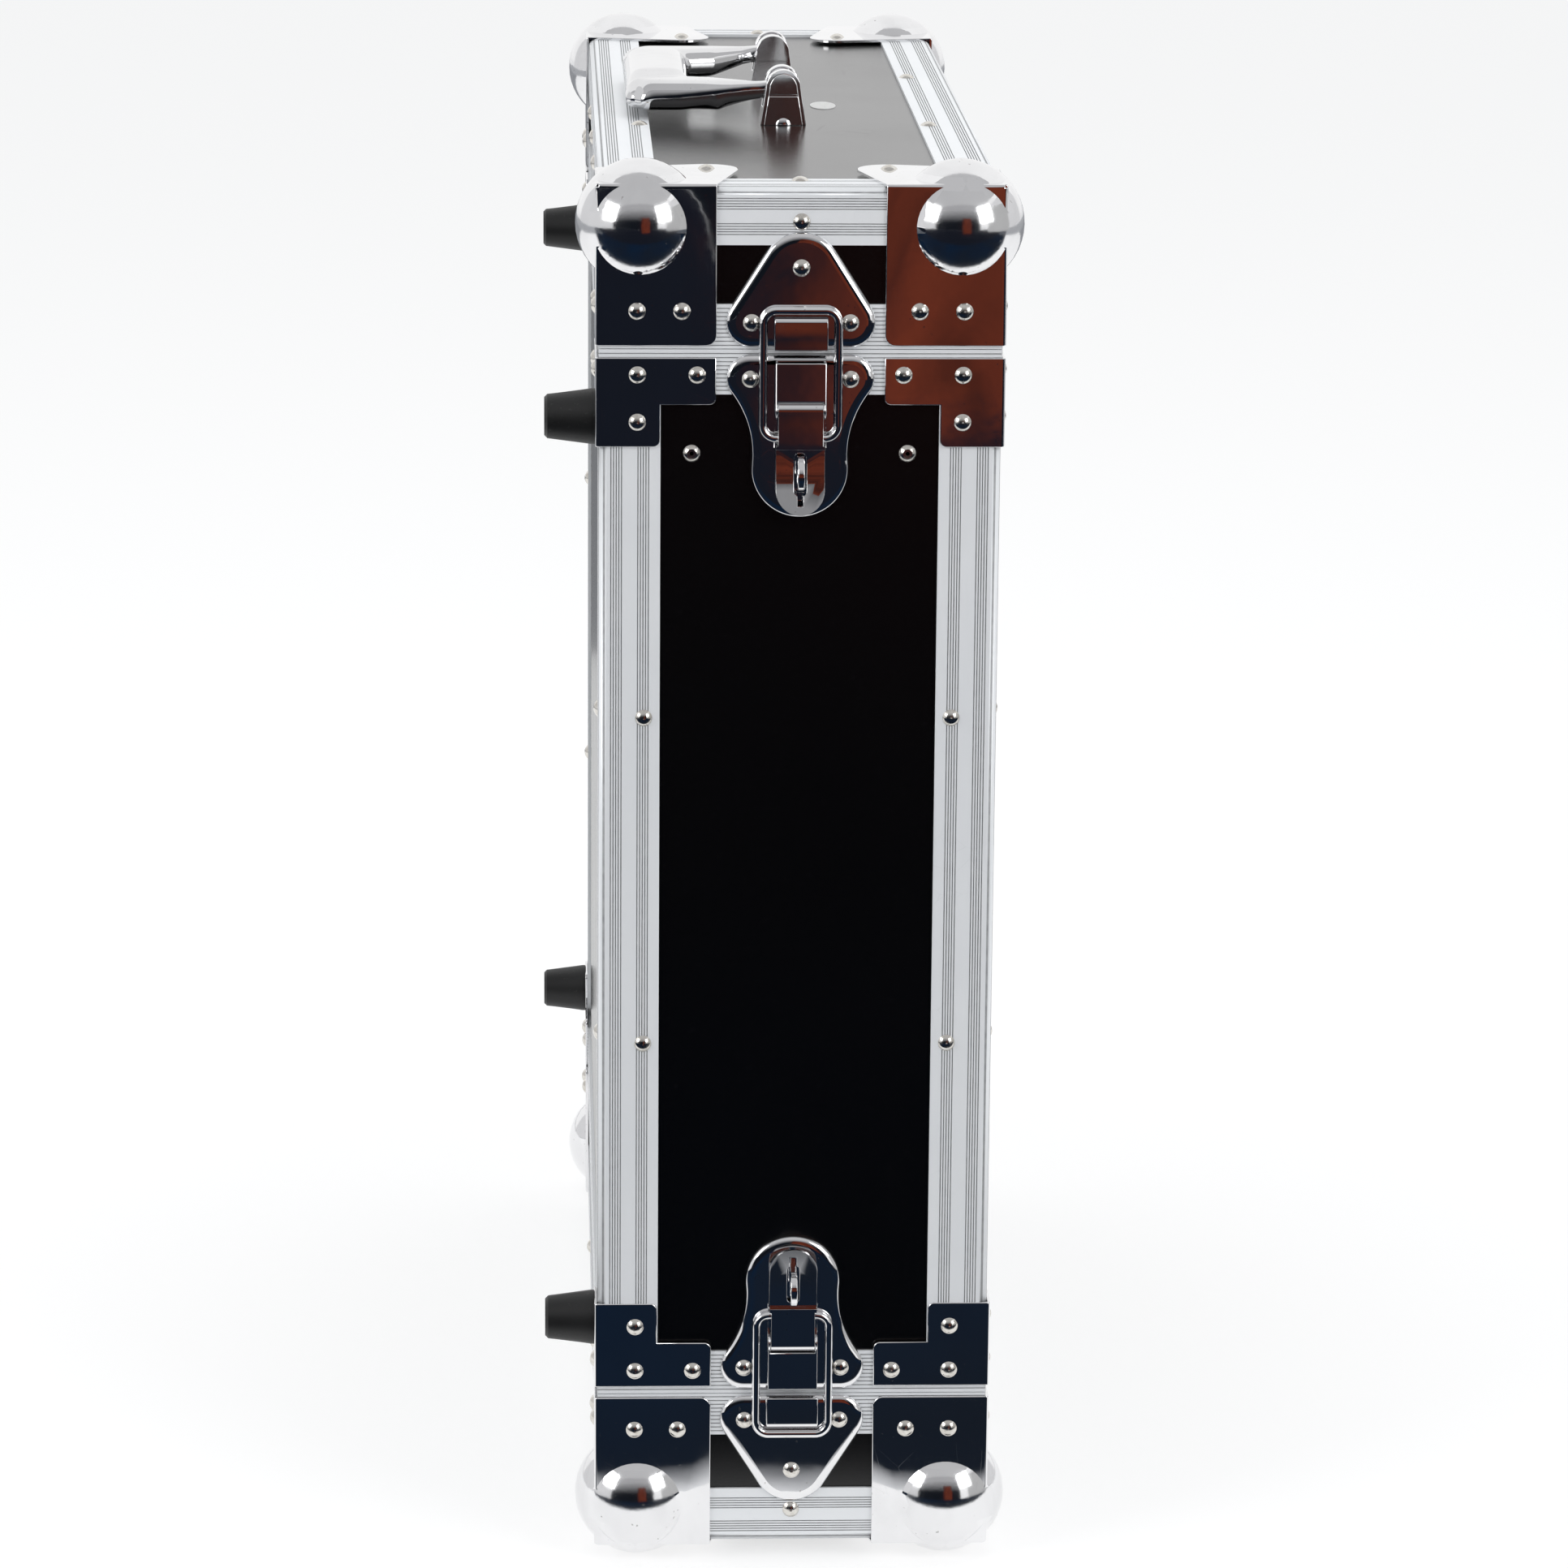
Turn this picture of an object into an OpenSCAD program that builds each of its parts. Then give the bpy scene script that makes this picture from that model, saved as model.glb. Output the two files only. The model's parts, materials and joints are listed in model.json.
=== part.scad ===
// Flight case for rack-mounted equipment: a plywood body edged in aluminium, with a
// lift-off lid at each end, held by drawbolt latches.
// The case stands on its rear lid: Z runs along the case from the rear lid up to the
// front lid, X across its height from the rubber feet to the top panel, and Y across
// its width from the near side panel to the far one.

/* [Case] */
// Rack units of equipment that the case holds, one above the other
rack_units = 3; // [3:1:8]
// Play left over for the equipment in the height of the rack space
rack_play = 1.15; // [0.8:0.05:5]
// Overall width over the side panels
case_w = 505; // [500:1:530]
// Length of the body between its two lids
body_l = 410; // [340:1:600]
// Depth of each lid, from its seam to its outer face
lid_l = 61; // [59:1:100]
// Thickness of the plywood panels
ply_t = 7; // [6.5:0.1:9.5]
// Wall thickness of the aluminium extrusions
alu_t = 1.25; // [1.1:0.05:1.6]

/* [Edge extrusions] */
// Width of each leg of the angle along the body's long edges
edge_w = 23.3; // [21:0.1:28]
// Width of each leg of the angle round a lid's outer face
lid_edge_w = 21.8; // [19:0.1:24]
// Outer radius of the angles
edge_r = 3; // [2:0.1:3.2]
// Number of fine ribs in each group
rib_count = 4; // [2:1:5]
// Pitch of the fine ribs
rib_pitch = 1; // [0.8:0.05:1.2]
// Width of the gap between two ribs
rib_gap = 0.4; // [0.3:0.05:0.5]
// Depth of the gap between two ribs
rib_depth = 0.35; // [0.2:0.05:0.5]

/* [Seams] */
// Width of the seam extrusions on the outer faces, each side of a seam
seam_w = 17; // [14:0.1:18]
// Number of gaps between the ribs of a seam extrusion
seam_ribs = 10; // [4:1:12]
// Thickness of the seam extrusion over the plywood's edge
cap_t = 1.5; // [1.2:0.1:2]
// Height of the tongue on the body's extrusion
tongue_h = 5; // [3:0.1:6]
// Thickness of the tongue
tongue_w = 2.4; // [1.6:0.1:2.8]
// Gap between the body and a closed lid, and round the tongue
seam_gap = 0.3; // [0.2:0.05:0.5]

/* [Corner fittings] */
// Radius of the ball on each corner
ball_r = 24; // [23:0.1:25]
// Distance of the ball's centre in from each of the three faces
ball_in = 15.4; // [14.6:0.1:16.2]
// Sheet thickness of corners, brackets and latch plates
plate_t = 1.2; // [1:0.1:1.6]
// Width of a ball corner's wings
corner_w = 44; // [36:0.5:46]
// Distance of the ball corner's tab from both edges, at the tab's rivet
tab_in = 41; // [34:0.5:44]
// Radius of the tab
tab_r = 12; // [8:0.5:13]
// Width of the wide arm of a body bracket
bracket_w = 44; // [38:0.5:46]
// Length of the wide arm's lower edge from the seam
bracket_l = 20.8; // [16:0.1:22]
// Width of the narrow leg of a body bracket
leg_w = 23; // [20:0.5:26]
// Length of the narrow leg's end from the seam
leg_l = 36.8; // [34:0.1:42]
// Radius of the brackets' free corners
bracket_r = 2.5; // [1:0.1:4]

/* [Rivets] */
// Diameter of a rivet head
rivet_d = 6.5; // [5:0.1:7]
// Height of a rivet head
rivet_h = 1.6; // [1:0.1:2]

/* [Latches] */
// Width of the pull ring
ring_w = 31.3; // [30:0.1:33]
// Diameter of the ring's bar
ring_bar = 3.2; // [2.8:0.1:3.4]
// Width of the hook on a keeper
hook_w = 20; // [14:0.5:21]
// Height of the hook's top above the seam
hook_top = 13; // [11:0.1:14]
// Width of the lever between its hinge ears
lever_w = 16.8; // [14:0.1:17]
// Width of the lever's hasp end
hasp_w = 18.3; // [15:0.1:19]
// Diameter of the hinge pin
latch_pin_d = 3; // [2.4:0.1:3.2]
// Height of the padlock staple above the case
staple_h = 17; // [15:0.1:20]
// Diameter of the staple's padlock hole
staple_hole_d = 6.5; // [5:0.1:7]

/* [Handle] */
// Length of the handle over its two end brackets
handle_l = 140; // [120:1:180]
// Width of a bracket at its foot
ear_w = 18.4; // [17:0.1:22]
// Length of a bracket along the handle
ear_l = 22; // [18:0.1:26]
// Height of the pivot above the lid
pivot_h = 13.8; // [13:0.1:16]
// Reach of the folded grip from the pivot to its outer edge
bail_reach = 63; // [56:0.5:68]
// Diameter of the handle's pins
handle_pin_d = 5; // [4:0.1:6]

/* [Feet] */
// Height of a rubber foot
foot_h = 19; // [12:0.5:24]
// Diameter of a foot where it meets the case
foot_base_d = 21; // [18:0.1:22]
// Diameter of a foot's outer end
foot_end_d = 16.7; // [15:0.1:18]
// Diameter of the screw through a foot
foot_screw_d = 4.2; // [3:0.1:5]

/* [Rack rails] */
// Distance of the rails behind the front seam
rail_set = 20; // [12:1:28]
// Sheet thickness of the rails
rail_t = 2; // [1.5:0.1:3]
// Depth of the rail's side flange
rail_flange = 38; // [34:1:60]
// Width of the rail's face, from the side panel to the opening between the rails
rail_w = 18.85; // [16:0.05:21]
// Distance of the tapped holes from the face's free edge
rail_hole_in = 7.15; // [6:0.05:9]
// Diameter of the rails' tapped holes
rail_hole_d = 4.8; // [4:0.1:6]

/* [Lining] */
// Thickness of the foam pad inside each lid
foam_t = 10; // [5:0.5:20]

/* [Hidden] */
$fn = 64;

// overrun of every cut, and the least gap between two fixed pieces
cut = 1;
fit_gap = 0.2;
// radial play of a pin in its hole
pin_play = 0.05;

// the rack standard: height of one unit, and its three holes. Equipment 19 inches wide
// needs an opening of 450.8 between the rails and holes 465.1 apart, as here
unit_h = 44.45;
unit_holes = [6.35, 22.225, 38.1];

// overall sizes that follow
wall_t = ply_t + alu_t;
inner_h = rack_units * unit_h + rack_play;
inner_w = case_w - 2 * wall_t;
case_h = inner_h + 2 * wall_t;
ball_out = ball_r - ball_in;
foot_out = plate_t + foot_h;
// the box round the case is centred on X = 0, and the balls stand on Z = 0
case_x = (foot_out - ball_out) / 2;
rear_z = ball_out + lid_l;
front_z = rear_z + body_l;
reach = case_w + body_l;

// where the two groups of ribs sit on an angle's leg
rib_group_shares = [0.29, 0.725];
// the tongue's place in the wall
tongue_in = 1.75;
tongue_u = alu_t + tongue_in;
channel_floor = 1.5;
channel_h = tongue_h + seam_gap + channel_floor;
mitre_gap = 0.15;

// the body brackets start this far from the seam, and the ball corners too on their side
bracket_gap = 3;
corner_gap = 1.5;
corner_l = lid_l - corner_gap;
corner_r = 4;
// rivets of the brackets, as distances from the case's edge and from the seam
bracket_rivets = [[14.6, 9.5], [36.9, 9.5], [14.6, 27.4]];
corner_rivets = [[14.4, 14.5], [31.1, 14.5]];
// rivets through the angles, along the body and the lid, and across an angle's leg
edge_rivet_shares = [0.344, 0.656];
edge_rivet_in_share = 0.742;
lid_rivet_share = 0.152;
lid_rivet_in_share = 0.82;
lid_wall_rivet_share = 0.7;
lid_side_rivet_share = 0.6;

// latch plates: centres and radii of their lobes, from the latch's middle and the seam,
// and the radius of the hollow between the ears and the tail
keeper_ear = [18.4, 10.4];
keeper_ear_r = 9.6;
keeper_head = [0, 28.9];
keeper_head_r = 15.2;
keeper_rivet = [0, 31];
base_ear = [18.7, -10.9];
base_ear_r = 9.1;
base_tail = [0, -45.4];
base_tail_r = 18.3;
base_waist_r = 39;
// height of the pressed plates, their folded edge, and the clearance round the lever's head
latch_plate_h = 2.1;
latch_skirt_w = 1.8;
lever_gap = 0.4;
// keeper hook, from the case's face outwards
hook_out = 6;
hook_r = 2.5;
hook_t = 1.5;
hook_low = 0.4;
// hinge pin of the lever and axle of the ring: distance from the face, and from the seam
pin_at = [5, -22.2];
axle_at = [4.1, -32.9];
head_r = 3.3;
lever_t = 1.5;
cheek_low = 1.6;
head_end = -36.6;
hasp_at = 4.2;
hasp_end = -61.2;
hasp_bend = -47;
hasp_turn = 18;
slot_w = 4.8;
slot_ends = [-54.4, -38.2];
slot_low_w = 2.2;
slot_low = -58;
ring_gap = 0.7;
ring_r = 6.5;
bridge_ends = [-18.6, -4];
bridge_d = 7.6;
bridge_t = 1.2;
ear_t = 0.9;
ear_gap = 0.2;
bridge_w = lever_w + 2 * (ear_gap + ear_t);
staple_ends = [-52.4, -39];
staple_t = 2.6;
staple_wall = 2.3;

// handle bracket
ear_top_r = 6.9;
ear_bevel = 1.4;
ear_slot = 9;
ear_slot_floor = 5;
ear_line_z = 10.4;
ear_line_h = 0.7;
ear_line_depth = 0.5;
ear_boss_r = 3.75;
ear_boss_in = 2.25;
// handle bail
arm_w = 8.2;
arm_r = 3.1;
eye_r = 5;
grip_w = 27;
grip_low = 3.4;
grip_edge_r = 4.4;
grip_mid_r = 7;
grip_mid_share = 0.58;
arm_flare = 14;

// foot screw
foot_in = 12;
screw_head_d = 8.4;
screw_head_h = 2.6;
screw_well_d = 10;
foot_floor = 5;

// rail rivets: distance from the case's middle, and behind the front seam
rail_rivet_x = 40.5;
rail_rivet_z = -39.6;
rail_rivet_d = 4;
rail_rivet_hole = 1.6;
rail_rivet_cup = 3.6;
rail_rivet_floor = 0.7;
rail_tail_h = 1.4;
rail_end_gap = 1.15;

foam_gap = 1;

// places

module mirrored_x() {
  children();
  mirror([1, 0, 0]) children();
}

module mirrored_y() {
  children();
  mirror([0, 1, 0]) children();
}

// a frame with Z = 0 at the front or rear seam and the lid on its positive side
module at_end(end) translate([case_x, 0, end == "front" ? front_z : rear_z])
  mirror([0, 0, end == "front" ? 0 : 1]) children();

// the near side, or the far side as its mirror image
module at_side(side) mirror([0, side == "near" ? 0 : 1, 0]) children();

// the bottom side, or the top side as its mirror image
module at_level(level) mirror([level == "bottom" ? 0 : 1, 0, 0]) children();

// the near face at one end: X from the case's middle, Z from the seam, outwards along -Y
module on_face(out = 0) translate([0, -case_w / 2 - out, 0]) children();

// an outline of X and Z drawn on the near face, raised outwards
module raised(out, thick) on_face(out) rotate([90, 0, 0]) linear_extrude(thick) children();

// an outline of (distance out of the near face, Z) drawn across X, about the middle
module spanned(width) on_face() rotate([90, 0, -90]) linear_extrude(width, center = true) children();

// a round hole or bar across X, at (distance out of the near face, Z)
module crossbar(at, d, width) translate([0, -case_w / 2 - at[0], at[1]]) rotate([0, 90, 0])
  cylinder(d = d, h = width, center = true);

// small shapes

// centre of the circle of radius r that touches two discs from outside
function touching(a, ra, b, rb, r, s) =
  let (v = b - a, gap = norm(v), p = r + ra, q = r + rb,
       turn = atan2(v[1], v[0]) + s * acos((p * p + gap * gap - q * q) / (2 * p * gap)))
  a + p * [cos(turn), sin(turn)];

function tangent_side(a, ra, b, rb, s) =
  let (v = b - a, turn = atan2(v[1], v[0]) + s * acos((ra - rb) / norm(v)))
  [[a[0] + ra * cos(turn), a[1] + ra * sin(turn)], [b[0] + rb * cos(turn), b[1] + rb * sin(turn)]];

// two discs and the band between their common tangents
module banded(a, ra, b, rb) {
  left = tangent_side(a, ra, b, rb, 1);
  right = tangent_side(a, ra, b, rb, -1);
  translate(a) circle(ra);
  translate(b) circle(rb);
  polygon([left[0], left[1], right[1], right[0]]);
}

// a rectangle from the origin with its far corner rounded
module tab_2d(w, l, r) {
  square([w, l - r]);
  square([w - r, l]);
  translate([w - r, l - r]) circle(r);
}

module rivet() {
  dome_r = (rivet_d * rivet_d / 4 + rivet_h * rivet_h) / (2 * rivet_h);
  difference() {
    translate([0, 0, rivet_h - dome_r]) sphere(dome_r);
    translate([0, 0, -dome_r]) cube(2 * [dome_r, dome_r, dome_r], center = true);
  }
}

// rivet heads facing outwards on the near face and on the bottom face
module near_rivet(x, z, out) on_face(out) translate([x, 0, z]) rotate([90, 0, 0]) rivet();

module bottom_rivet(y, z, out) translate([-case_h / 2 - out, y, z]) rotate([0, -90, 0]) rivet();

// a profile of (depth into the case, Z) run round the four sides, cut to mitres
module framed(deep) {
  mirrored_y() intersection() {
    translate([-case_h / 2, -case_w / 2, 0]) rotate([90, 0, 90]) linear_extrude(case_h) children();
    mitred(case_h, case_w, deep);
  }
  mirrored_x() intersection() {
    translate([-case_h / 2, case_w / 2, 0]) rotate([90, 0, 0]) linear_extrude(case_w) children();
    mirror([1, -1, 0]) mitred(case_w, case_h, deep);
  }
}

module mitred(along, across, deep) translate([0, -across / 2, -lid_l])
  linear_extrude(2 * lid_l) polygon([
    [-along / 2 + mitre_gap - cut, -cut], [along / 2 - mitre_gap + cut, -cut],
    [along / 2 - mitre_gap - deep, deep], [-along / 2 + mitre_gap + deep, deep]]);

// aluminium extrusions

// an angle from its outer corner at the origin, with two groups of ribs on each leg
module angle_2d(w) difference() {
  union() {
    translate([edge_r, edge_r]) circle(edge_r);
    translate([edge_r, 0]) square([w - edge_r, edge_r]);
    translate([0, edge_r]) square([edge_r, w - edge_r]);
  }
  translate([alu_t, alu_t]) square(w);
  for (share = rib_group_shares, i = [0 : rib_count]) {
    place = share * w + (i - rib_count / 2) * rib_pitch - rib_gap / 2;
    translate([place, -cut]) square([rib_gap, cut + rib_depth]);
    translate([-cut, place]) square([cut + rib_depth, rib_gap]);
  }
}

module edge_angle() color("silver")
  translate([-case_h / 2, -case_w / 2, rear_z + seam_w + fit_gap])
  linear_extrude(body_l - 2 * seam_w - 2 * fit_gap) angle_2d(edge_w);

module seam_gaps_2d() for (i = [1 : seam_ribs])
  translate([-cut, i * seam_w / (seam_ribs + 1) - rib_gap / 2]) square([cut + rib_depth, rib_gap]);

// the body's seam extrusion: outer leg, cap over the plywood's edge, and the tongue
module seam_frame() color("silver") framed(wall_t + cut) difference() {
  union() {
    translate([0, -seam_w]) square([alu_t, seam_w]);
    translate([0, -cap_t]) square([wall_t, cap_t]);
    translate([tongue_u, -cap_t]) square([tongue_w, cap_t + tongue_h - tongue_w / 2]);
    translate([tongue_u + tongue_w / 2, tongue_h - tongue_w / 2]) circle(d = tongue_w);
  }
  mirror([0, 1]) seam_gaps_2d();
}

// the lid's seam extrusion: outer leg, and the channel that the tongue goes into
module lid_seam_frame() color("silver") framed(wall_t + cut) difference() {
  union() {
    translate([0, seam_gap]) square([alu_t, seam_w - seam_gap]);
    translate([0, seam_gap]) square([wall_t, channel_h - seam_gap]);
  }
  seam_gaps_2d();
  translate([tongue_u - seam_gap, -cut]) square([tongue_w + 2 * seam_gap, cut + tongue_h + seam_gap]);
}

module lid_edges() color("silver") translate([0, 0, lid_l]) framed(lid_edge_w + cut)
  mirror([0, 1]) angle_2d(lid_edge_w);

// plywood panels

module side_panel() color([0.1, 0.1, 0.11]) difference() {
  translate([-inner_h / 2, -case_w / 2 + alu_t, rear_z + cap_t])
    cube([inner_h, ply_t, body_l - 2 * cap_t]);
  translate([0, 0, front_z]) rail_rivet_shanks(pin_play);
}

module level_panel() color([0.1, 0.1, 0.11])
  translate([-case_h / 2 + alu_t, -case_w / 2 + alu_t, rear_z + cap_t])
  cube([ply_t, case_w - 2 * alu_t, body_l - 2 * cap_t]);

module bottom_panel() color([0.1, 0.1, 0.11]) difference() {
  level_panel();
  each_foot() foot_screw_hole();
}

module lid_face() color([0.1, 0.1, 0.11])
  translate([-case_h / 2 + alu_t, -case_w / 2 + alu_t, lid_l - wall_t])
  cube([case_h - 2 * alu_t, case_w - 2 * alu_t, ply_t]);

module lid_side_wall() color([0.1, 0.1, 0.11])
  translate([-case_h / 2 + alu_t, -case_w / 2 + alu_t, channel_h])
  cube([case_h - 2 * alu_t, ply_t, lid_l - wall_t - channel_h]);

module lid_level_wall() color([0.1, 0.1, 0.11])
  translate([-case_h / 2 + alu_t, -case_w / 2 + wall_t, channel_h])
  cube([ply_t, inner_w, lid_l - wall_t - channel_h]);

module lid_foam() color([0.2, 0.2, 0.22])
  translate([-inner_h / 2 + foam_gap, -inner_w / 2 + foam_gap, lid_l - wall_t - foam_t])
  cube([inner_h - 2 * foam_gap, inner_w - 2 * foam_gap, foam_t]);

// corner fittings

module ball_corner_wing() rotate([90, 0, 0]) linear_extrude(plate_t) mirror([0, 1])
  tab_2d(corner_w, corner_l, corner_r);

// the corner's outline on the lid's outer face: a blunt triangle out to the tab
module ball_corner_face() linear_extrude(plate_t) {
  side = tangent_side([corner_w - tab_r, 0], tab_r, [tab_in, tab_in], tab_r, -1);
  polygon([[0, 0], [corner_w, 0], side[1], [tab_in, tab_in], [side[1][1], side[1][0]], [0, corner_w]]);
  translate([tab_in, tab_in]) circle(tab_r);
}

// one corner, from the case's own corner at the origin and the case towards +X, +Y and -Z
module ball_corner() color("gainsboro") difference() {
  union() {
    translate([ball_in, ball_in, -ball_in]) sphere(ball_r);
    ball_corner_wing();
    mirror([1, -1, 0]) ball_corner_wing();
    ball_corner_face();
    translate([0, 0, -corner_l]) cylinder(r = plate_t, h = corner_l);
    rotate([0, 90, 0]) cylinder(r = plate_t, h = corner_w);
    rotate([-90, 0, 0]) cylinder(r = plate_t, h = corner_w);
  }
  translate([0, 0, -lid_l]) cube([lid_l, lid_l, lid_l]);
}

module ball_corners() mirrored_x() mirrored_y()
  translate([-case_h / 2, -case_w / 2, lid_l]) ball_corner();

module bracket_2d() mirror([0, 1]) difference() {
  union() {
    tab_2d(bracket_w, bracket_l, bracket_r);
    tab_2d(leg_w, leg_l, bracket_r);
  }
  translate([-cut, -cut]) square([bracket_w + 2 * cut, cut + bracket_gap]);
}

module corner_bracket() color("gainsboro") difference() {
  union() {
    rotate([90, 0, 0]) linear_extrude(plate_t) bracket_2d();
    mirror([1, -1, 0]) rotate([90, 0, 0]) linear_extrude(plate_t) bracket_2d();
    translate([0, 0, -leg_l]) cylinder(r = plate_t, h = leg_l - bracket_gap);
  }
  translate([0, 0, -leg_l - cut]) cube([reach, reach, leg_l + cut]);
}

module corner_brackets() mirrored_x() mirrored_y()
  translate([-case_h / 2, -case_w / 2, 0]) corner_bracket();

// rivet heads

module bracket_rivet_heads() mirrored_y() {
  for (at = bracket_rivets) mirrored_x() near_rivet(-case_h / 2 + at[0], -at[1], plate_t);
  for (at = bracket_rivets, top = [0, 1])
    if (top == 1 || at != bracket_rivets[2])
      mirror([top, 0, 0]) bottom_rivet(-case_w / 2 + at[0], -at[1], plate_t);
}

module latch_rivet_heads() mirrored_y() {
  mirrored_x() near_rivet(base_ear[0], base_ear[1], latch_plate_h);
}

module edge_rivet_heads() mirrored_y() mirrored_x() for (share = edge_rivet_shares) {
  near_rivet(-case_h / 2 + edge_w * edge_rivet_in_share, rear_z + share * body_l, 0);
  bottom_rivet(-case_w / 2 + edge_w * edge_rivet_in_share, rear_z + share * body_l, 0);
}

module body_rivets() color("gainsboro") {
  for (end = ["front", "rear"]) at_end(end) {
    bracket_rivet_heads();
    latch_rivet_heads();
  }
  translate([case_x, 0, 0]) edge_rivet_heads();
}

// heads on a lid: wings and tabs of the corners, keepers, and the edge extrusions
module lid_rivets() color("gainsboro") {
  mirrored_y() mirrored_x() {
    for (at = corner_rivets) {
      near_rivet(-case_h / 2 + at[0], at[1], plate_t);
      bottom_rivet(-case_w / 2 + at[0], at[1], plate_t);
    }
    translate([-case_h / 2 + tab_in, -case_w / 2 + tab_in, lid_l + plate_t]) rivet();
    near_rivet(keeper_ear[0], keeper_ear[1], latch_plate_h);
    for (y = [-case_w * lid_rivet_share, 0]) bottom_rivet(y, lid_l - lid_edge_w * lid_wall_rivet_share, 0);
    translate([-case_h / 2 + lid_edge_w * lid_rivet_in_share, -case_w * lid_rivet_share, lid_l]) rivet();
  }
  mirrored_y() {
    near_rivet(keeper_rivet[0], keeper_rivet[1], latch_plate_h);
    near_rivet(0, lid_l - lid_edge_w * lid_side_rivet_share, 0);
    translate([0, -case_w / 2 + lid_edge_w * lid_rivet_in_share, lid_l]) rivet();
  }
}

// latches

module keeper_2d(inset = 0) {
  ear = keeper_ear;
  other = [-ear[0], ear[1]];
  banded(ear, keeper_ear_r - inset, other, keeper_ear_r - inset);
  banded(ear, keeper_ear_r - inset, keeper_head, keeper_head_r - inset);
  banded(other, keeper_ear_r - inset, keeper_head, keeper_head_r - inset);
}

module base_2d(inset = 0) {
  ear = base_ear;
  other = [-ear[0], ear[1]];
  waist = touching(ear, base_ear_r, base_tail, base_tail_r, base_waist_r, 1);
  banded(ear, base_ear_r - inset, other, base_ear_r - inset);
  translate(base_tail) circle(base_tail_r - inset);
  difference() {
    polygon([ear, waist, base_tail, [-waist[0], waist[1]], other]);
    mirrored_x() translate(waist) circle(base_waist_r + inset);
  }
}

module hook_2d() difference() {
  union() {
    translate([0, hook_low]) square([hook_out, hook_top - hook_r - hook_low]);
    translate([0, hook_low]) square([hook_out - hook_r, hook_top - hook_low]);
    translate([hook_out - hook_r, hook_top - hook_r]) circle(hook_r);
  }
  translate([-cut, hook_low - cut])
    square([hook_out - hook_t + cut, hook_top - hook_t - hook_low + cut]);
}

// pressed plate, and the hook that the ring pulls on
module keeper() color("gainsboro") {
  raised(0, latch_plate_h) keeper_2d();
  // a skirt closes the step down to the panel, between the two extrusions
  raised(-alu_t, alu_t) difference() {
    keeper_2d();
    translate([-reach, -reach]) square([2 * reach, reach + seam_w + fit_gap]);
    translate([-reach, lid_l - lid_edge_w - fit_gap]) square([2 * reach, reach]);
    keeper_2d(latch_skirt_w);
  }
  spanned(hook_w) hook_2d();
}

module bridge_side_2d() {
  translate([0, pin_at[1]]) square([bridge_d, bridge_ends[1] - pin_at[1]]);
  translate(pin_at) circle(head_r);
  translate([0, pin_at[1] - head_r]) square([pin_at[0], head_r]);
}

// the hinge bridge: a roof over the two ears that hold the pin
module bridge() difference() {
  spanned(bridge_w) bridge_side_2d();
  spanned(lever_w + 2 * ear_gap) {
    translate([plate_t, bridge_ends[0] - cut])
      square([bridge_d - bridge_t - plate_t, bridge_d - bridge_ends[0]]);
    translate([plate_t, bridge_ends[0] - bridge_w]) square([bridge_w, bridge_w]);
  }
  crossbar(pin_at, latch_pin_d + 2 * pin_play, ring_w);
}

module staple() spanned(staple_t) {
  rounding = (staple_ends[1] - staple_ends[0]) / 2;
  middle = staple_ends[0] + rounding;
  difference() {
    union() {
      translate([0, staple_ends[0]]) square([staple_h - rounding, 2 * rounding]);
      translate([staple_h - rounding, middle]) circle(rounding);
    }
    translate([staple_h - staple_wall - staple_hole_d / 2, middle]) circle(d = staple_hole_d);
  }
}

// pressed plate, sunk under the lever's head
module latch_base() color("gainsboro") {
  raised(0, plate_t) base_2d();
  raised(0, latch_plate_h) difference() {
    base_2d();
    translate([-bridge_w / 2, head_end - lever_gap])
      square([bridge_w, bridge_ends[0] - head_end + 2 * lever_gap]);
  }
  raised(-alu_t, alu_t) difference() {
    base_2d();
    translate([-reach, -seam_w - fit_gap]) square([2 * reach, reach]);
    base_2d(latch_skirt_w);
  }
  bridge();
  staple();
}

module lever_head_2d() {
  translate(pin_at) circle(head_r);
  translate([cheek_low, head_end]) square([pin_at[0] + head_r - cheek_low, pin_at[1] - head_end]);
}

// the hasp's outline: a round end, and a slot that narrows at its lower end
module hasp_2d() difference() {
  union() {
    translate([-hasp_w / 2, hasp_end + hasp_w / 2]) square([hasp_w, head_end - hasp_end - hasp_w / 2]);
    translate([0, hasp_end + hasp_w / 2]) circle(d = hasp_w);
  }
  banded([0, slot_ends[0] + slot_w / 2], slot_w / 2, [0, slot_ends[1] - slot_w / 2], slot_w / 2);
  translate([-slot_low_w / 2, slot_low]) square([slot_low_w, slot_w]);
}

// the hasp from the side: flat down to the bend, and turned outwards below it
module hasp_side_2d() {
  drop = hasp_bend - hasp_end + cut;
  slant = drop * tan(hasp_turn);
  polygon([[hasp_at, head_end + lever_t], [hasp_at + lever_t, head_end + lever_t],
    [hasp_at + lever_t, hasp_bend + lever_t * tan(hasp_turn / 2)],
    [hasp_at + slant + lever_t / cos(hasp_turn), hasp_bend - drop],
    [hasp_at + slant, hasp_bend - drop], [hasp_at, hasp_bend]]);
}

module hasp() intersection() {
  spanned(hasp_w) hasp_side_2d();
  raised(0, staple_h) hasp_2d();
}

// a pressed lever: two cheeks under a folded cover, and a slotted hasp end
module latch_lever() color("gainsboro") difference() {
  union() {
    difference() {
      spanned(lever_w) lever_head_2d();
      spanned(lever_w - 2 * lever_t) {
        translate(pin_at) circle(head_r - lever_t);
        translate([0, head_end + lever_t])
          square([pin_at[0] + head_r - lever_t, pin_at[1] - head_end - lever_t]);
      }
    }
    hasp();
    spanned(hasp_w) translate([cheek_low, head_end])
      square([pin_at[0] + head_r - cheek_low, lever_t]);
  }
  crossbar(pin_at, latch_pin_d + 2 * pin_play, ring_w);
  crossbar(axle_at, ring_bar + 2 * pin_play, ring_w);
}

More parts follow.
